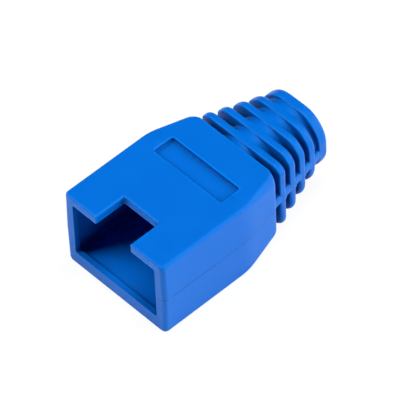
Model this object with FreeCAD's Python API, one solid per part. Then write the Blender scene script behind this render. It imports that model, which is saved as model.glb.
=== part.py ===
import FreeCAD, Part
import math
import os

# Strain relief boot for an eight-way modular plug: a hollow hood that slides over the
# back of the plug, and a tail of rings on a thin tube that lets the cable bend gently.
# Millimetres. X across the boot, Y from the mouth to the tail, Z up.

# Hood, outside
hood_width = 14.0
hood_height = 9.6
straight_length = 11.2
taper_length = 4.9
taper_side_draw_in = 0.97
taper_top_drop = 0.3
taper_bottom_rise = 0.65
taper_bend_length = 2.0
side_draft = 0.1
straight_edge_radius = 0.35
shoulder_edge_inset = 0.75
shoulder_edge_drop = 1.25
mouth_corner_radius = 0.5
mouth_rim_radius = 0.2
shoulder_corner_radius = 0.8
shoulder_rim_radius = 0.12

# Hood, inside
side_wall = 0.85
top_wall = 1.0
floor_wall = 1.3
back_wall = 1.5
cavity_corner_radius = 0.3
lip_length = 0.6
lip_side_height = 0.32
lip_floor_height = 0.4

# Notch for the plug's latch, and the shallow finger panel behind it
notch_width = 4.8
notch_depth = 3.75
panel_width = 9.4
panel_start = 9.8
panel_length = 2.5
panel_depth = 0.5
panel_floor_radius = 0.3

# Tail: rings from the hood to the end, which shrink and grow rounder on the way
ring_count = 5
ring_pitch = 1.67
ring_thickness = 0.94
end_ring_thickness = 1.2
ring_gap_at_hood = 0.76
ring_front_rim_radius = 0.22
ring_back_rim_radius = 0.35
first_ring_half_width = 5.48
last_ring_half_width = 4.04
first_ring_bottom = 0.33
last_ring_bottom = 0.93
ring_top = 9.03
first_ring_cut_across = 0.95
last_ring_cut_across = 1.9
first_ring_cut_down = 0.75
last_ring_cut_down = 2.05
first_ring_bend_radius = 0.7
last_ring_bend_radius = 1.4

# Tail: the tube under the rings and its bore, then the webs that part each groove into
# four pockets: one across, flush with the ring sides, and one upright, with a soft crown
tube_radius = 3.65
bore_radius = 3.0
bore_edge_chamfer = 0.25
side_web_height = 1.15
side_web_inset = 0.05
side_web_edge_radius = 0.3
crown_width = 5.6
crown_edge_radius = 2.7
crown_depth_at_hood = 0.22
crown_depth_at_end = 0.12

# Roundings and the taper's bend are made of straight steps; cuts run on past open faces
rounding_steps = 3
bend_steps = 4
cut_overrun = 1.0

# Derived stations along the boot, measured from the mouth
hood_length = straight_length + taper_length
first_ring_start = hood_length + ring_gap_at_hood
last_ring_start = first_ring_start + (ring_count - 1) * ring_pitch
boot_length = last_ring_start + end_ring_thickness
mouth_y = -boot_length / 2
parting_z = hood_height / 2


def between(start, end, share):
    return start + (end - start) * share


def corner_inset(distance, radius):
    """How far a rounded corner stands back from its face, at a distance from the end."""
    reach = max(radius - distance, 0.0)
    return radius - math.sqrt(radius ** 2 - reach ** 2)


def section_point(y, x, z):
    return FreeCAD.Vector(x, mouth_y + y, z)


def creased_section(y, half_width, bottom, top, inset, drop, draft=0.0):
    """A rectangle across the boot, at a distance from the mouth, with arcs for corners. An arc
    leaves its side wall smoothly, and meets the top or bottom at a crease if inset < drop. With
    a draft, the side walls are widest at the parting plane."""
    arc_radius = (inset ** 2 + drop ** 2) / (2 * inset)
    half_turn = math.asin(min(drop / arc_radius, 1.0)) / 2
    middle_x = half_width - arc_radius * (1 - math.cos(half_turn))
    middle_drop = drop - arc_radius * math.sin(half_turn)
    face_x = half_width - inset
    lower = [(face_x, bottom), (middle_x, bottom + middle_drop), (half_width, bottom + drop)]
    upper = [(half_width, top - drop), (middle_x, top - middle_drop), (face_x, top)]
    edges = []
    for side in (1, -1):
        low_arc = [section_point(y, side * x, z) for x, z in lower]
        high_arc = [section_point(y, side * x, z) for x, z in upper]
        widest = section_point(y, side * (half_width + draft), parting_z)
        edges.append(Part.Arc(*low_arc).toShape())
        edges.append(Part.makeLine(low_arc[-1], widest))
        edges.append(Part.makeLine(widest, high_arc[0]))
        edges.append(Part.Arc(*high_arc).toShape())
    for x_end, z in ((face_x, bottom), (face_x, top)):
        edges.append(Part.makeLine(section_point(y, -x_end, z), section_point(y, x_end, z)))
    return Part.Wire(Part.__sortEdges__(edges))


def rounded_section(y, half_width, bottom, top, radius):
    return creased_section(y, half_width, bottom, top, radius, radius)


def bend_arc(before, corner, after, radius):
    """The arc of a radius that rounds a corner between two straight edges."""
    back = (before - corner).normalize()
    on = (after - corner).normalize()
    half_angle = back.getAngle(on) / 2
    tangent = radius / math.tan(half_angle)
    middle = (back + on).normalize() * (radius / math.sin(half_angle) - radius)
    return [corner + back * tangent, corner + middle, corner + on * tangent]


def slant_section(y, half_width, bottom, top, cut_across, cut_down, bend_radius, inset):
    """A rectangle whose corners are cut by slanting lines and whose bends are rounded, with all
    its edges standing back by an inset."""
    slant = math.hypot(cut_across, cut_down)
    normal_x = cut_down / slant
    normal_z = cut_across / slant
    side = half_width - inset
    face = (top - bottom) / 2 - inset
    to_slant = normal_x * half_width + normal_z * ((top - bottom) / 2 - cut_down) - inset
    face_x = (to_slant - normal_z * face) / normal_x
    side_z = (to_slant - normal_x * side) / normal_z
    middle_z = (top + bottom) / 2
    quarter = [(side, side_z), (face_x, face)]
    right = [(x, -z) for x, z in reversed(quarter)] + quarter
    outline = right + [(-x, -z) for x, z in right]
    corners = [section_point(y, x, middle_z + z) for x, z in outline]
    arcs = []
    for i, corner in enumerate(corners):
        arcs.append(bend_arc(corners[i - 1], corner, corners[(i + 1) % len(corners)], bend_radius))
    edges = []
    for i, arc in enumerate(arcs):
        edges.append(Part.Arc(*arc).toShape())
        edges.append(Part.makeLine(arc[-1], arcs[(i + 1) % len(arcs)][0]))
    return Part.Wire(edges)


def loft(sections):
    return Part.makeLoft(sections, True, True)


def taper_share(y):
    """0 on the straight run and 1 at the hood's back, with a soft bend where the two meet."""
    from_bend = y - straight_length + taper_bend_length / 2
    in_bend = min(max(from_bend, 0.0), taper_bend_length)
    past_bend = max(from_bend - taper_bend_length, 0.0)
    return (in_bend ** 2 / (2 * taper_bend_length) + past_bend) / taper_length


def bend_stations():
    start = straight_length - taper_bend_length / 2
    return [start + taper_bend_length * step / bend_steps for step in range(bend_steps + 1)]


def hood_section(y):
    """The outside of the hood, with its ends rounded in plan and along the rims."""
    share = taper_share(y)
    to_back = hood_length - y
    side = corner_inset(y, mouth_corner_radius) + corner_inset(to_back, shoulder_corner_radius)
    rim = corner_inset(y, mouth_rim_radius) + corner_inset(to_back, shoulder_rim_radius)
    drawn_in = between(side_draft, taper_side_draw_in, share)
    half_width = hood_width / 2 - drawn_in - side
    bottom = taper_bottom_rise * share + rim
    top = hood_height - taper_top_drop * share - rim
    inset = between(straight_edge_radius, shoulder_edge_inset, share)
    drop = between(straight_edge_radius, shoulder_edge_drop, share)
    return creased_section(y, half_width, bottom, top, inset, drop, side_draft * (1 - share))


def rounding_stations(radius):
    """Distances from an end that follow a quarter circle at even angles."""
    turn = math.pi / 2 / rounding_steps
    return [radius * (1 - math.cos(turn * step)) for step in range(rounding_steps + 1)]


def make_hood():
    nose = rounding_stations(mouth_corner_radius)
    shoulder = [hood_length - y for y in reversed(rounding_stations(shoulder_corner_radius))]
    return loft([hood_section(y) for y in nose + bend_stations() + shoulder])


def cavity_section(y, lip_side, lip_floor):
    share = taper_share(y)
    drawn_in = between(side_draft, taper_side_draw_in, share)
    half_width = hood_width / 2 - drawn_in - side_wall - lip_side
    bottom = taper_bottom_rise * share + floor_wall + lip_floor
    top = hood_height - taper_top_drop * share - top_wall
    return rounded_section(y, half_width, bottom, top, cavity_corner_radius)


def make_cavity():
    """The plug's pocket: a lip at the mouth, a straight run, then the hood's taper."""
    back = hood_length - back_wall
    mouth = loft([cavity_section(y, lip_side_height, lip_floor_height) for y in (0.0, lip_length)])
    stations = [lip_length] + bend_stations() + [back]
    pocket = loft([cavity_section(y, 0.0, 0.0) for y in stations])
    return mouth.fuse(pocket)


def ring_share(y):
    """0 at the first ring's middle and 1 at the last pitch, for sizes along the tail."""
    first_middle = first_ring_start + ring_thickness / 2
    return (y - first_middle) / (ring_pitch * (ring_count - 1))


def ring_half_width(y):
    return between(first_ring_half_width, last_ring_half_width, ring_share(y))


def ring_bottom(y):
    return between(first_ring_bottom, last_ring_bottom, ring_share(y))


def make_ring(index):
    """A slab across the tail, with both of its rims rounded all the way round."""
    start = first_ring_start + ring_pitch * index
    thickness = end_ring_thickness if index == ring_count - 1 else ring_thickness
    middle = start + ring_thickness / 2
    share = ring_share(middle)
    cut_across = between(first_ring_cut_across, last_ring_cut_across, share)
    cut_down = between(first_ring_cut_down, last_ring_cut_down, share)
    bend_radius = between(first_ring_bend_radius, last_ring_bend_radius, share)
    front = rounding_stations(ring_front_rim_radius)
    back = [thickness - y for y in reversed(rounding_stations(ring_back_rim_radius))]
    sections = []
    for y in front + back:
        front_inset = corner_inset(y, ring_front_rim_radius)
        inset = front_inset + corner_inset(thickness - y, ring_back_rim_radius)
        sections.append(slant_section(
            start + y, ring_half_width(middle), ring_bottom(middle), ring_top,
            cut_across, cut_down, bend_radius - inset, inset))
    return loft(sections)


def tail_start_and_end():
    """Where the tube and webs begin inside the hood's back wall, and end in the last ring."""
    return hood_length - back_wall / 2, last_ring_start + ring_thickness / 2


def make_tube():
    start, end = tail_start_and_end()
    centre = FreeCAD.Vector(0, mouth_y + start, parting_z)
    return Part.makeCylinder(tube_radius, end - start, centre, FreeCAD.Vector(0, 1, 0))


def make_side_web():
    """One bar across the tail at the parting plane; the bore later parts it in two."""
    start, end = tail_start_and_end()
    bottom = parting_z - side_web_height / 2
    at_start = ring_half_width(start) - side_web_inset
    at_end = ring_half_width(end) - side_web_inset
    plan = [(-at_start, start), (at_start, start), (at_end, end), (-at_end, end), (-at_start, start)]
    outline = Part.makePolygon([FreeCAD.Vector(x, mouth_y + y, bottom) for x, y in plan])
    bar = Part.Face(outline).extrude(FreeCAD.Vector(0, 0, side_web_height))
    long_edges = [edge for edge in bar.Edges if edge.BoundBox.YLength > ring_pitch]
    return bar.makeFillet(side_web_edge_radius, long_edges)


def make_crown():
    """The upright web, whose rounded crowns all but fill the grooves on the centre line. At the
    hood it stays within the raised back of the hood's underside."""
    sections = []
    for y in tail_start_and_end():
        depth = between(crown_depth_at_hood, crown_depth_at_end, ring_share(y))
        bottom = max(ring_bottom(y) + depth, taper_bottom_rise)
        top = ring_top - depth
        sections.append(rounded_section(y, crown_width / 2, bottom, top, crown_edge_radius))
    return loft(sections)


def make_bore():
    """The cable's way from the pocket to the end, with a small chamfer at the exit."""
    axis = FreeCAD.Vector(0, 1, 0)
    start = FreeCAD.Vector(0, mouth_y + straight_length, parting_z)
    bore = Part.makeCylinder(bore_radius, boot_length - straight_length, start, axis)
    chamfer_start = FreeCAD.Vector(0, mouth_y + boot_length - bore_edge_chamfer, parting_z)
    exit_radius = bore_radius + bore_edge_chamfer
    chamfer = Part.makeCone(bore_radius, exit_radius, bore_edge_chamfer, chamfer_start, axis)
    return bore.fuse(chamfer)


def centred_box(width, start, length, bottom, height):
    corner = FreeCAD.Vector(-width / 2, mouth_y + start, bottom)
    return Part.makeBox(width, length, height, corner)


def make_notch():
    """A slot through the top wall, from the pocket's middle up and out past the mouth."""
    return centred_box(notch_width, -cut_overrun, notch_depth + cut_overrun, parting_z, hood_height)


def make_panel():
    """The shallow pocket in the top, with soft edges round its floor."""
    bottom = hood_height - panel_depth
    height = panel_depth + cut_overrun
    pocket = centred_box(panel_width, panel_start, panel_length, bottom, height)
    floor_edges = [edge for edge in pocket.Edges if edge.BoundBox.ZMax < hood_height]
    return pocket.makeFillet(panel_floor_radius, floor_edges)


def make_boot():
    rings = [make_ring(index) for index in range(ring_count)]
    solid = make_hood().multiFuse([make_tube(), make_side_web(), make_crown()] + rings)
    solid = solid.cut(make_cavity()).cut(make_bore()).cut(make_notch()).cut(make_panel())
    return solid.removeSplitter().Solids[0]


os.makedirs("parts", exist_ok=True)
make_boot().exportStep("parts/strain_relief_boot.step")
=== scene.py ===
import math

import bmesh
import bpy
from mathutils import Matrix, Vector


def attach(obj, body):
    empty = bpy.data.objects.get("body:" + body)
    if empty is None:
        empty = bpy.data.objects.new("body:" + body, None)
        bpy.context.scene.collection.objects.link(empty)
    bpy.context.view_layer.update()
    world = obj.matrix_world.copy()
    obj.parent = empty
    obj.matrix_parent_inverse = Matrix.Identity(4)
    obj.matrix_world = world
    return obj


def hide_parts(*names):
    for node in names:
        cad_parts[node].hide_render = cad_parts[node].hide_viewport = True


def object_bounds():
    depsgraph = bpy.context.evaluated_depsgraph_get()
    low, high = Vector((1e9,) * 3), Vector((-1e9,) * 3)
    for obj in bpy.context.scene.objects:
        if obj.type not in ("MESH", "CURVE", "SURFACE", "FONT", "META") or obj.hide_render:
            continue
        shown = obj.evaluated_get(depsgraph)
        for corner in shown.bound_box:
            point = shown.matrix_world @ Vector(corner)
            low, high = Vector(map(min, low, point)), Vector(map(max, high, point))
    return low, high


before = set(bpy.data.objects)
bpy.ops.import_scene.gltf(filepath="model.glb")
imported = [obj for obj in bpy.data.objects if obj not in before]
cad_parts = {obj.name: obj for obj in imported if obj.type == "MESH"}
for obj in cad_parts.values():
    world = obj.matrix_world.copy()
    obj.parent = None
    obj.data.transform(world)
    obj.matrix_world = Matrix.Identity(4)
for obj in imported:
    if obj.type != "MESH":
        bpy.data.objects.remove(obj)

# ---------------------------------------------------------------------------------------------
# Ribbed tail. Five rounded slabs of soft moulded plastic on a thin tube, joined by a bar across
# and an upright web, so that each groove is four pockets. It is moulded in one with the hood.
# The surface is a grid wrapped round the cable's axis, and a rule gives the radius at each point.
mm = 0.001
cad_low, cad_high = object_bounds()
mouth_y = cad_low.y
parting_z = (cad_low.z + cad_high.z) / 2
hood_length = 16.1 * mm
grid_columns = 320
rows_per_step = 16
column_crowding = 0.15
gap_wall_slope = 20


class Field:
    """A node's output, such as a value that varies over a mesh or a surface. Formulas use it
    like a number."""

    def __init__(self, tree, socket=None):
        self.tree = tree
        self.socket = socket

    def node(self, kind, settings, sockets, output=0):
        """Adds a node, its settings first, then a value or a link for each socket, and returns
        one of its outputs."""
        made = self.tree.nodes.new(kind)
        for name, value in settings.items():
            setattr(made, name, value)
        for name, value in sockets.items():
            if isinstance(value, Field):
                self.tree.links.new(value.socket, made.inputs[name])
            else:
                made.inputs[name].default_value = value
        return Field(self.tree, made.outputs[output])

    def math(self, operation, *values):
        sockets = dict(enumerate((self, *values)))
        return self.node("ShaderNodeMath", {"operation": operation}, sockets)

    def parts(self):
        """The x, y and z of a vector."""
        split = self.node("ShaderNodeSeparateXYZ", {}, {0: self})
        return [Field(self.tree, output) for output in split.socket.node.outputs]

    def __add__(self, other):
        return self.math("ADD", other)

    def __sub__(self, other):
        return self.math("SUBTRACT", other)

    def __rsub__(self, other):
        return (self * -1) + other

    def __mul__(self, other):
        return self.math("MULTIPLY", other)

    def __truediv__(self, other):
        return self.math("DIVIDE", other)

    __radd__ = __add__
    __rmul__ = __mul__

    def above(self, other):
        """1 where this is greater than the other, and 0 elsewhere."""
        return self.math("GREATER_THAN", other)

    def at_least(self, other):
        return self.math("MAXIMUM", other)

    def at_most(self, other):
        return self.math("MINIMUM", other)

    def select(self, where_one, where_zero):
        """Picks one of two values by this mask of ones and zeros."""
        return self * where_one + (1 - self) * where_zero


def round_corner_radius(across, up, half_width, half_height, corner):
    """Distance from the middle of a rounded rectangle to its edge, along a direction whose
    parts across and up are both positive."""
    to_box = (half_width / across).at_most(half_height / up)
    corner_x = half_width - corner
    corner_z = half_height - corner
    along = across * corner_x + up * corner_z
    past = along * along - corner_x * corner_x - corner_z * corner_z + corner * corner
    to_arc = along + past.at_least(0.0).math("SQRT")
    in_corner = (to_box * across).above(corner_x) * (to_box * up).above(corner_z)
    return in_corner.select(to_arc, to_box)


def slab_radius(across, up, half_width, half_height, cut_across, cut_down, inset):
    """The same for a rectangle with slanting cuts for corners, whose edges all stand back by an
    inset. The bend at each end of a cut is as long as half the cut."""
    cut_length = (cut_across * cut_across + cut_down * cut_down).math("SQRT")
    normal_x = cut_down / cut_length
    normal_z = cut_across / cut_length
    cut_distance = normal_x * half_width + normal_z * (half_height - cut_down)
    to_sides = ((half_width - inset) / across).at_most((half_height - inset) / up)
    to_cut = (cut_distance - inset) / (across * normal_x + up * normal_z)
    return to_sides.math("SMOOTH_MIN", to_cut, cut_length * 0.5)


def make_tail_tree(material):
    tree = bpy.data.node_groups.new("ribbed tail", "GeometryNodeTree")
    sizes = {
        "Ring Count": 5,
        "Ring Pitch": 1.67 * mm,
        "Ring Thickness": 0.94 * mm,
        "End Ring Thickness": 1.2 * mm,
        "Gap At Hood": 0.76 * mm,
        "Root Depth": 0.5 * mm,
        "Front Rim Radius": 0.15 * mm,
        "Back Rim Radius": 0.45 * mm,
        "Lower Rim Radius": 0.4 * mm,
        "First Ring Half Width": 5.48 * mm,
        "Last Ring Half Width": 4.04 * mm,
        "First Ring Bottom": 0.33 * mm,
        "Last Ring Bottom": 0.93 * mm,
        "Ring Top": 9.03 * mm,
        "First Ring Cut Across": 0.8 * mm,
        "Last Ring Cut Across": 1.85 * mm,
        "First Ring Cut Down": 0.62 * mm,
        "Last Ring Cut Down": 1.95 * mm,
        "Extra Cut Below": 0.25,
        "Tube Radius": 3.65 * mm,
        "Bar Height": 1.15 * mm,
        "Bar Inset": 0.05 * mm,
        "Bar Corner": 0.3 * mm,
        "Crown Width": 6.9 * mm,
        "Crown Depth": 0.08 * mm,
        "Crown Blend": 0.5 * mm,
        "Pocket Fillet": 0.36 * mm,
        "Least Room": 0.02 * mm,
        "Fillet Blend": 0.3 * mm,
        "Ring Blend": 0.22 * mm,
        "Bar Blend": 0.08 * mm,
        "Body Blend": 0.1 * mm,
    }
    for name, value in sizes.items():
        kind = "NodeSocketInt" if name == "Ring Count" else "NodeSocketFloat"
        socket = tree.interface.new_socket(name, in_out="INPUT", socket_type=kind)
        socket.default_value = value
    tree.interface.new_socket("Geometry", in_out="OUTPUT", socket_type="NodeSocketGeometry")
    entry = tree.nodes.new("NodeGroupInput")
    size = {name: Field(tree, entry.outputs[name]) for name in sizes}
    count = size["Ring Count"]
    maker = Field(tree)

    # The grid: a pole, a row inside the hood, the rows of each gap and ring, and a pole.
    steps = count * 2
    outer_rows = steps * rows_per_step + 2
    grid = maker.node("GeometryNodeMeshGrid", {}, {
        "Size X": 1.0, "Size Y": 1.0,
        "Vertices X": grid_columns + 1, "Vertices Y": outer_rows + 2})
    grid_x, grid_y, _ = maker.node("GeometryNodeInputPosition", {}, {}).parts()
    turn = (grid_x + 0.5) * math.tau
    row = ((grid_y + 0.5) * (outer_rows + 1)).math("ROUND", 0.0)

    # Columns crowd together at the webs. Each step of the tail is a gap or a ring.
    angle = turn - (turn * 4).math("SINE") * column_crowding
    cosine = angle.math("COSINE")
    sine = angle.math("SINE")
    across = cosine.math("ABSOLUTE").at_least(1e-4)
    up = sine.math("ABSOLUTE").at_least(1e-4)
    step_row = (row - 2).at_least(0.0).at_most(steps * rows_per_step)
    step = (step_row / rows_per_step).math("FLOOR").at_most(steps - 1)
    phase = step_row / rows_per_step - step
    eased = (1 - (phase * math.pi).math("COSINE")) * 0.5
    ring = (step * 0.5).math("FLOOR")
    in_ring = (step - ring * 2).above(0.5)
    is_last = ring.above(count - 1.5)
    is_first = (0.5 - ring).above(0.0)
    at_back = phase.above(0.5)
    thickness = is_last.select(size["End Ring Thickness"], size["Ring Thickness"])
    gap = is_first.select(size["Gap At Hood"], size["Ring Pitch"] - size["Ring Thickness"])
    ring_start = size["Gap At Hood"] + ring * size["Ring Pitch"]
    along = in_ring.select(ring_start + thickness * eased, ring_start - gap * (1 - eased))
    along = along - (1.5 - row).above(0.0) * size["Root Depth"]
    to_face = eased.at_most(1 - eased) * in_ring.select(thickness, gap)

    # Sizes that change along the tail, by the share of the way from the first ring to the last.
    ring_share = ring / (count - 1)
    first_ring_middle = size["Gap At Hood"] + size["Ring Thickness"] * 0.5
    share = (along - first_ring_middle) / (size["Ring Pitch"] * (count - 1))

    def along_tail(name, place):
        first = size["First Ring " + name]
        return first + (size["Last Ring " + name] - first) * place

    bottom = along_tail("Bottom", share)
    half_height = (size["Ring Top"] - bottom) * 0.5
    middle_z = (size["Ring Top"] + bottom) * 0.5

    # The rings. A ring's rims are rounded, and in a gap the slab drops away steeply.
    below = (sine * -3).at_least(0.0).at_most(1.0)
    front_rim = below.select(size["Lower Rim Radius"], size["Front Rim Radius"])
    by_front_rim = in_ring.select(1 - at_back, at_back)
    rim = by_front_rim.select(front_rim, size["Back Rim Radius"])
    reach = (rim - to_face).at_least(0.0)
    rounding = rim - (rim * rim - reach * reach).at_least(0.0).math("SQRT")
    inset = in_ring.select(rounding, rim + to_face * gap_wall_slope)
    half_width = along_tail("Half Width", ring_share)
    cut_scale = 1 + below * size["Extra Cut Below"]
    cut_across = along_tail("Cut Across", ring_share) * cut_scale
    cut_down = along_tail("Cut Down", ring_share) * cut_scale
    full_slab = slab_radius(across, up, half_width, half_height, cut_across, cut_down, 0.0)
    slab = slab_radius(across, up, half_width, half_height, cut_across, cut_down, inset)

    # The tube, the bar across and the oval crown of the upright web, which join the rings.
    offset = (parting_z - middle_z) * sine.math("SIGN")
    tube = size["Tube Radius"] + offset * up
    bar_reach = along_tail("Half Width", share) - size["Bar Inset"]
    bar_height = size["Bar Height"] * 0.5 + offset
    bar = round_corner_radius(across, up, bar_reach, bar_height, size["Bar Corner"])
    beside = across / (size["Crown Width"] * 0.5)
    upward = up / (half_height - size["Crown Depth"])
    crown = (beside * beside + upward * upward).math("POWER", -0.5)
    crowned = tube.math("SMOOTH_MAX", crown, size["Crown Blend"])
    body = crowned.math("SMOOTH_MAX", bar, size["Body Blend"])

    # A fillet climbs from that body to each ring's faces and to the back of the hood.
    room = (full_slab - body).at_least(size["Least Room"])
    fillet = size["Pocket Fillet"].math("SMOOTH_MIN", room * 0.5, size["Fillet Blend"])
    short_of = (fillet - (1 - in_ring) * to_face).at_least(0.0)
    climb = fillet - (fillet * fillet - short_of * short_of).at_least(0.0).math("SQRT")
    webbed = slab.math("SMOOTH_MAX", crowned + climb, size["Ring Blend"])
    webbed = webbed.math("SMOOTH_MAX", bar + climb, size["Bar Blend"])
    past_webs = is_last * in_ring * at_back
    on_surface = row.above(0.5) * (outer_rows + 0.5 - row).above(0.0)
    radius = past_webs.select(slab, webbed) * on_surface

    # The far end stops a hair short of the solid's.
    moved = maker.node("ShaderNodeCombineXYZ", {}, {
        "X": cosine * radius,
        "Y": along * 0.9999 + (mouth_y + hood_length),
        "Z": sine * radius + middle_z})
    shaped = maker.node("GeometryNodeSetPosition", {}, {"Geometry": grid, "Position": moved})
    closed = maker.node("GeometryNodeMergeByDistance", {}, {
        "Geometry": shaped, "Distance": 0.0005 * mm})
    outward = maker.node("GeometryNodeFlipFaces", {}, {"Mesh": closed})
    whole = maker.node("GeometryNodeRealizeInstances", {}, {"Geometry": outward})
    painted = maker.node("GeometryNodeSetMaterial", {}, {"Geometry": whole, "Material": material})
    leave = tree.nodes.new("NodeGroupOutput")
    tree.links.new(painted.socket, leave.inputs[0])
    return tree


def plain_mesh(source, name):
    """The object's evaluated shape as a mesh with no modifiers."""
    depsgraph = bpy.context.evaluated_depsgraph_get()
    mesh = bpy.data.meshes.new_from_object(source.evaluated_get(depsgraph))
    mesh.name = name
    return mesh


def put_in_scene(name, data):
    made = bpy.data.objects.new(name, data)
    bpy.context.scene.collection.objects.link(made)
    return made


blue = bpy.data.materials.new("blue soft plastic")
tail = put_in_scene("ribbed_tail", bpy.data.meshes.new("ribbed tail"))
wrap = tail.modifiers.new("wrap", "NODES")
wrap.node_group = make_tail_tree(blue)
tail.data = plain_mesh(tail, "ribbed tail")
tail.modifiers.clear()

# ---------------------------------------------------------------------------------------------
# Hood. A box of the same plastic, open at the mouth, with a tapered back. It is a skin over
# sections. Its side walls lean in slightly above and below the parting line, for the mould.
hood_width = cad_high.x - cad_low.x
hood_height = cad_high.z - cad_low.z
straight_length = 11.2 * mm
taper_length = hood_length - straight_length
taper_bend = 2.0 * mm
taper_side = 0.97 * mm
taper_bottom = 0.65 * mm
taper_top = 0.3 * mm
side_draft = 0.1 * mm
ridge_half_height = 0.15 * mm
mouth_corner_radius = 0.5 * mm
back_corner_radius = 0.8 * mm
mouth_rim_radius = 0.2 * mm
back_rim_radius = 0.12 * mm
straight_shoulder = 0.35 * mm
taper_shoulder_inset = 0.75 * mm
taper_shoulder_drop = 1.25 * mm
arc_steps = 8
bend_steps = 10


def between(start, end, share):
    return start + (end - start) * share


def corner_inset(distance, radius):
    """How far a rounded corner stands back from its face, at a distance from the end."""
    reach = max(radius - distance, 0.0)
    return radius - math.sqrt(radius ** 2 - reach ** 2)


def end_stations(radius):
    """Distances from an end that divide a corner's arc evenly."""
    turns = [math.pi / 2 * step / arc_steps for step in range(arc_steps + 1)]
    return [radius * (1 - math.cos(turn)) for turn in turns]


def soft_corner_loop(half_width, bottom, top, inset, drop):
    """A rectangle with arcs for corners. An arc leaves its side wall smoothly and meets the top
    or bottom at a crease if inset < drop. Returns points (x, z)."""
    arc_radius = (inset ** 2 + drop ** 2) / (2 * inset)
    arc_turn = math.asin(min(drop / arc_radius, 1.0))
    quarter = []
    for step in range(arc_steps + 1):
        angle = arc_turn * step / arc_steps
        x = half_width - arc_radius * (1 - math.cos(angle))
        quarter.append((x, drop - arc_radius * math.sin(angle)))
    upper = [(x, top - down) for x, down in quarter]
    lower = [(x, bottom + rise) for x, rise in reversed(quarter)]
    right = lower + upper
    return right + [(-x, z) for x, z in reversed(right)]


def skin(name, loops):
    """A closed mesh through loops of the same number of points, with flat ends."""
    mesh = bmesh.new()
    rows = [[mesh.verts.new(point) for point in loop] for loop in loops]
    count = len(rows[0])
    for low, high in zip(rows, rows[1:]):
        for i in range(count):
            j = (i + 1) % count
            mesh.faces.new((low[i], low[j], high[j], high[i]))
    mesh.faces.new(rows[0])
    mesh.faces.new(rows[-1])
    bmesh.ops.recalc_face_normals(mesh, faces=mesh.faces)
    data = bpy.data.meshes.new(name)
    mesh.to_mesh(data)
    mesh.free()
    return put_in_scene(name, data)


def across_loop(y, points):
    return [(x, mouth_y + y, z) for x, z in points]


def taper_share(y):
    """0 on the straight run and 1 at the hood's back, with a soft bend where the two meet."""
    from_bend = y - straight_length + taper_bend / 2
    in_bend = min(max(from_bend, 0.0), taper_bend)
    past_bend = max(from_bend - taper_bend, 0.0)
    return (in_bend ** 2 / (2 * taper_bend) + past_bend) / taper_length


def hood_loop(y):
    share = taper_share(y)
    to_back = hood_length - y
    corner = corner_inset(y, mouth_corner_radius) + corner_inset(to_back, back_corner_radius)
    rim = corner_inset(y, mouth_rim_radius) + corner_inset(to_back, back_rim_radius)
    half_width = hood_width / 2 - between(side_draft, taper_side, share) - corner
    bottom = taper_bottom * share + rim
    top = hood_height - taper_top * share - rim
    inset = between(straight_shoulder, taper_shoulder_inset, share)
    drop = between(straight_shoulder, taper_shoulder_drop, share)
    points = soft_corner_loop(half_width, bottom, top, inset, drop)
    lower = points[:len(points) // 4]
    upper = points[len(points) // 4:len(points) // 2]
    draft = side_draft * (1 - share)
    near_ridge = half_width + draft * 0.97
    ridge = [
        (near_ridge, parting_z - ridge_half_height),
        (half_width + draft, parting_z),
        (near_ridge, parting_z + ridge_half_height)]
    right = lower + ridge + upper
    return across_loop(y, right + [(-x, z) for x, z in reversed(right)])


bend_shares = [step / bend_steps - 0.5 for step in range(bend_steps + 1)]
bend_ys = [straight_length + taper_bend * share for share in bend_shares]
back_ys = [hood_length - y for y in reversed(end_stations(back_corner_radius))]
hood_ys = end_stations(mouth_corner_radius) + bend_ys + back_ys
hood = skin("hood", [hood_loop(y) for y in hood_ys])

# ---------------------------------------------------------------------------------------------
# Openings. The pocket takes the plug and has a low lip round its mouth, the notch clears the
# plug's latch, the panel is for a finger, and the bore takes the cable. Each is a skin that is
# cut from the moulding.
side_wall = 0.85 * mm
top_wall = 1.0 * mm
floor_wall = 1.3 * mm
back_wall = 1.5 * mm
pocket_corner = 0.25 * mm
lip_length = 0.6 * mm
side_lip = 0.32 * mm
floor_lip = 0.4 * mm
outside = 1.0 * mm


def pocket_loop(y, lip_in=0.0, lip_up=0.0):
    share = taper_share(y)
    half_width = hood_width / 2 - between(side_draft, taper_side, share) - side_wall - lip_in
    bottom = taper_bottom * share + floor_wall + lip_up
    top = hood_height - taper_top * share - top_wall
    return across_loop(y, soft_corner_loop(half_width, bottom, top, pocket_corner, pocket_corner))


lip = [pocket_loop(y, side_lip, floor_lip) for y in (-outside, lip_length)]
pocket_ys = [lip_length] + bend_ys + [hood_length - back_wall]
pocket = skin("pocket", lip + [pocket_loop(y) for y in pocket_ys])

notch_half_width = 2.4 * mm
notch_depth = 3.75 * mm
notch_rim = 0.2 * mm
notch_corner = 0.2 * mm
tab_corner = 0.15 * mm


def notch_loop(z):
    """The latch notch at a height: rounded at its inner corners and where it meets the mouth,
    and flared at the top, to leave a soft rim."""
    flare = corner_inset(max(hood_height - z, 0.0), notch_rim)
    half_width = notch_half_width + flare
    depth = notch_depth + flare
    turns = [math.pi / 2 * step / arc_steps for step in range(arc_steps + 1)]
    right = [(half_width + tab_corner, -outside)]
    for turn in turns:
        x = half_width + tab_corner * (1 - math.sin(turn))
        right.append((x, tab_corner * (1 - math.cos(turn))))
    for turn in turns:
        x = half_width - notch_corner * (1 - math.cos(turn))
        right.append((x, depth - notch_corner * (1 - math.sin(turn))))
    loop = right + [(-x, y) for x, y in reversed(right)]
    return [(x, mouth_y + y, z) for x, y in loop]


rim_heights = [hood_height - down for down in reversed(end_stations(notch_rim))]
notch_heights = [parting_z] + rim_heights + [hood_height + outside]
notch = skin("notch", [notch_loop(z) for z in notch_heights])

panel_start = 9.8 * mm
panel_length = 2.5 * mm
panel_half_width = 4.7 * mm
panel_depth = 0.5 * mm
panel_corner = 0.25 * mm
panel_fillet = 0.06 * mm
panel_rim = 0.16 * mm


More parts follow.
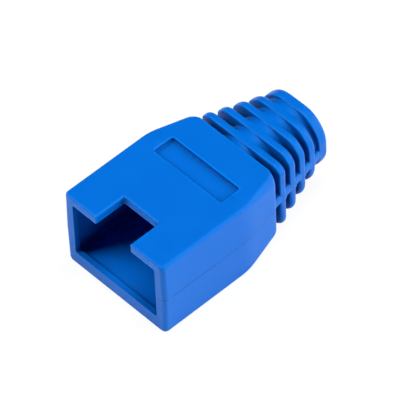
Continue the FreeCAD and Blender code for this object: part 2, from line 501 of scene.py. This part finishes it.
def panel_loop(depth):
    """The finger panel at a depth: rounded round its floor, and flared at the top."""
    flare = corner_inset(max(depth, 0.0), panel_rim)
    inset = corner_inset(panel_depth - depth, panel_fillet) - flare
    corner = panel_corner - inset
    end = panel_length - inset
    outline = soft_corner_loop(panel_half_width - inset, inset, end, corner, corner)
    return [(x, mouth_y + panel_start + y, hood_height - depth) for x, y in outline]


floor_depths = [panel_depth - rise for rise in reversed(end_stations(panel_fillet))]
panel_depths = [-outside] + end_stations(panel_rim) + floor_depths
panel = skin("panel", [panel_loop(depth) for depth in panel_depths])

bore_radius = 3.0 * mm
bore_chamfer = 0.25 * mm
bore_sides = 96
tail_end = cad_high.y - mouth_y


def bore_loop(y, radius):
    turns = [math.tau * side / bore_sides for side in range(bore_sides)]
    circle = [(radius * math.cos(turn), parting_z + radius * math.sin(turn)) for turn in turns]
    return across_loop(y, circle)


bore = skin("bore", [
    bore_loop(straight_length, bore_radius),
    bore_loop(tail_end - bore_chamfer, bore_radius),
    bore_loop(tail_end + outside, bore_radius + bore_chamfer + outside)])

# ---------------------------------------------------------------------------------------------
# Moulding. The boot itself, one piece of blue soft plastic: the hood and the tail are joined,
# and the openings are cut. The plastic has a parting line, flash, grain and slow ripples.
sharp_angle = math.radians(20)
pocket_side = hood_width / 2 - side_draft - side_wall
pocket_top = hood_height - top_wall
groove_half_width = 0.1 * mm
groove_depth = 0.015 * mm
ledge_drop = 0.11 * mm
ledge_half_width = 0.06 * mm
ledge_rise = 0.01 * mm
flash_reach = 0.75 * mm
flash_rise = 0.012 * mm
grain_rise = 0.0016 * mm
ripple_rise = 0.012 * mm
plastic_green = 0.096
plastic_blue = 0.43
plastic_roughness = 0.4
# Colour of the painted highlight added along the outer rims.
rim_highlight_green = 0.06
rim_highlight_blue = 0.2

boot = put_in_scene("strain_relief_boot_moulding", hood.data)
for operation, tool in (
        ("UNION", tail),
        ("DIFFERENCE", pocket),
        ("DIFFERENCE", notch),
        ("DIFFERENCE", panel),
        ("DIFFERENCE", bore)):
    cut = boot.modifiers.new(tool.name, "BOOLEAN")
    cut.operation = operation
    cut.object = tool
    cut.solver = "MANIFOLD"
boot.data = plain_mesh(boot, "boot")
boot.modifiers.clear()
for tool in (hood, tail, pocket, notch, panel, bore):
    bpy.data.objects.remove(tool)
boot.data.materials.clear()
boot.data.materials.append(blue)
boot.data.shade_smooth()
boot.data.set_sharp_from_angle(angle=sharp_angle)
even_shading = boot.modifiers.new("even shading", "WEIGHTED_NORMAL")
even_shading.keep_sharp = True

blue.use_nodes = True
blue_tree = blue.node_tree
shader = blue_tree.nodes["Principled BSDF"]
shader.inputs["Specular IOR Level"].default_value = 0.15
shader.inputs["Specular Tint"].default_value = (0.3, 0.75, 1.0, 1.0)
maker = Field(blue_tree)
place = maker.node("ShaderNodeTexCoord", {}, {}, "Object")
x, y, z = place.parts()


def noise(size, detail=2.0):
    """Soft random patches of a size, from 0 to 1."""
    sockets = {"Vector": place, "Scale": 1 / size, "Detail": detail}
    return maker.node("ShaderNodeTexNoise", {}, sockets)


def closeness(distance, reach):
    """1 at a distance of nothing, falling evenly to 0 at the reach."""
    return (1 - distance.math("ABSOLUTE") / reach).at_least(0.0)


# The mould's parting line runs round the outside at mid-height: a fine broken groove, and a
# ledge under it where the lower half stands out a little. The pocket's inside has none. In the
# colour, the groove is painted darker as its shade, and the ledge paler as a painted highlight.
past_hood = (y - mouth_y - hood_length).above(0.0)
past_bend = (y - mouth_y - straight_length).at_least(0.0)
from_middle = x.math("ABSOLUTE")
in_wall = pocket_side + 0.25 * mm - past_bend * 0.2
is_outer = from_middle.above(past_hood.select(bore_radius + 0.4 * mm, in_wall))
wander = (noise(1.6 * mm) - 0.5) * 0.16 * mm
above_parting = z - parting_z - wander
broken = (noise(0.7 * mm) * 2.2 - 0.4).at_least(0.0).at_most(1.0)
strength = broken * past_hood.select(0.3, 1.0) * is_outer
groove = closeness(above_parting, groove_half_width) * strength
ledge = closeness(above_parting + ledge_drop, ledge_half_width) * strength

# Flash left by the mould: small raised specks along the bars between the rings.
near_bar = (flash_reach - (z - parting_z).math("ABSOLUTE")).above(0.0) * past_hood * is_outer
flash = ((noise(0.3 * mm, 4.0) - 0.6) * 8).at_least(0.0).at_most(1.0) * near_bar

# Fine grain and slow ripples cover every face.
grain = noise(0.09 * mm, 3.0)
ripple = noise(0.8 * mm)
patches = noise(3.5 * mm)
mould_marks = ledge * ledge_rise - groove * groove_depth + flash * flash_rise
height = grain * grain_rise + ripple * ripple_rise + mould_marks

# Painted highlight: rims on the outside are painted a little paler, as where light catches their
# edges; the pocket's inside is left out.
between_sides = (pocket_side + 0.05 * mm - from_middle).above(0.0) * (1 - past_hood)
over_floor = (z - floor_wall + 0.1 * mm).above(0.0)
in_pocket = between_sides * over_floor * (pocket_top - 0.1 * mm - z).above(0.0)
open_inside = maker.node(
    "ShaderNodeAmbientOcclusion", {"inside": True, "samples": 6}, {"Distance": 0.25 * mm}, "AO")
painted_rim_highlight = ((1 - open_inside) * 2.5).at_most(1.0) * (1 - in_pocket)

# Painted shade: deep pockets and grooves are painted darker than the open faces, where shade falls
# in them.
open_outside = maker.node(
    "ShaderNodeAmbientOcclusion", {"only_local": True, "samples": 6}, {"Distance": 1.2 * mm}, "AO")
painted_depth_shade = 0.4 + open_outside * 0.6

texture_tone = 1 + (patches - 0.5) * 0.1 + (grain - 0.5) * 0.1
# Colour tone: random patches and grain, with painted shade in the parting groove and deep places,
# a painted highlight on the ledge, and paler flash.
tone_and_painted_light = (texture_tone - groove * 0.85 + ledge * 0.5 + flash * 0.3) * painted_depth_shade
paint = maker.node("ShaderNodeCombineXYZ", {}, {
    "X": flash * 0.015,
    "Y": tone_and_painted_light * plastic_green + painted_rim_highlight * rim_highlight_green,
    "Z": tone_and_painted_light * plastic_blue + painted_rim_highlight * rim_highlight_blue})
blue_tree.links.new(paint.socket, shader.inputs["Base Color"])
roughness = plastic_roughness + (patches - 0.5) * 0.12 + (grain - 0.5) * 0.1
blue_tree.links.new(roughness.socket, shader.inputs["Roughness"])
relief = maker.node("ShaderNodeBump", {}, {"Strength": 1.0, "Distance": 1.0, "Height": height})
blue_tree.links.new(relief.socket, shader.inputs["Normal"])

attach(boot, "root")
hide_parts("strain_relief_boot")

# ---------------------------------------------------------------------------------------------
# Studio. A plain pale floor that the camera sees as almost white, a white surround, and four
# soft boxes: behind on the right, overhead, in front on the left, and low on the right.
floor_whiteness = 0.9
floor_reach = 2.0
corner_signs = ((-1, -1), (1, -1), (1, 1), (-1, 1))
floor_corners = [(east * floor_reach, north * floor_reach, 0) for east, north in corner_signs]
floor_mesh = bpy.data.meshes.new("floor")
floor_mesh.from_pydata(floor_corners, [], [(0, 1, 2, 3)])
floor = put_in_scene("floor", floor_mesh)

pale = bpy.data.materials.new("pale floor")
pale.use_nodes = True
pale_tree = pale.node_tree
pale_shader = pale_tree.nodes["Principled BSDF"]
pale_shader.inputs["Base Color"].default_value = (0.9, 0.9, 0.9, 1.0)
maker = Field(pale_tree)
seen = maker.node("ShaderNodeLightPath", {}, {}, "Is Camera Ray")
white = maker.node("ShaderNodeEmission", {}, {"Strength": 1.0})
mix = maker.node("ShaderNodeMixShader", {}, {
    0: seen * floor_whiteness, 1: Field(pale_tree, pale_shader.outputs[0]), 2: white})
pale_tree.links.new(mix.socket, pale_tree.nodes["Material Output"].inputs[0])
floor_mesh.materials.append(pale)

boot_middle = (cad_low + cad_high) / 2


def soft_box(name, place, size, power):
    """A square lamp that faces the boot."""
    lamp = bpy.data.lights.new(name, "AREA")
    lamp.size = size
    lamp.energy = power
    made = put_in_scene(name, lamp)
    made.location = place
    made.rotation_mode = "QUATERNION"
    made.rotation_quaternion = (boot_middle - Vector(place)).to_track_quat("-Z", "Y")


soft_box("behind on the right", (0.51, 0.51, 0.35), 0.55, 6.6)
soft_box("overhead", (0.05, 0.12, 0.79), 0.4, 4.7)
soft_box("front on the left", (-0.4, -0.46, 0.52), 0.35, 6.2)
soft_box("low on the right", (0.78, 0.07, 0.18), 0.25, 2.2)

surround = bpy.data.worlds.new("studio")
bpy.context.scene.world = surround
surround.use_nodes = True
surround_tree = surround.node_tree
dim = surround_tree.nodes["Background"]
dim.inputs["Strength"].default_value = 0.02
maker = Field(surround_tree)
seen = maker.node("ShaderNodeLightPath", {}, {}, "Is Camera Ray")
white = maker.node("ShaderNodeBackground", {}, {"Color": (1.0, 1.0, 1.0, 1.0), "Strength": 1.0})
mix = maker.node("ShaderNodeMixShader", {}, {
    0: seen, 1: Field(surround_tree, dim.outputs[0]), 2: white})
surround_tree.links.new(mix.socket, surround_tree.nodes["World Output"].inputs[0])

# ---------------------------------------------------------------------------------------------
# Camera. It looks down over the mouth and the right-hand side from some way off, through a long
# lens, and is rolled by a few degrees.
azimuth = math.radians(48.394)
elevation = math.radians(49.013)
roll = math.radians(-2.591)
camera_place = Vector((0.242527, -0.216444, 0.378149))
back = Vector((
    math.sin(azimuth) * math.cos(elevation),
    -math.cos(azimuth) * math.cos(elevation),
    math.sin(elevation)))
right = Vector((0, 0, 1)).cross(back).normalized()
above = back.cross(right)
rolled_right = right * math.cos(roll) + above * math.sin(roll)
rolled_above = above * math.cos(roll) - right * math.sin(roll)
facing = Matrix((rolled_right, rolled_above, back)).transposed().to_4x4()
lens = bpy.data.cameras.new("camera")
lens.sensor_width = 36.0
lens.lens = 459.7
lens.clip_start = 0.05
lens.clip_end = 5.0
camera = put_in_scene("camera", lens)
camera.matrix_world = Matrix.Translation(camera_place) @ facing
bpy.context.scene.camera = camera
bpy.context.scene.view_settings.view_transform = "Standard"
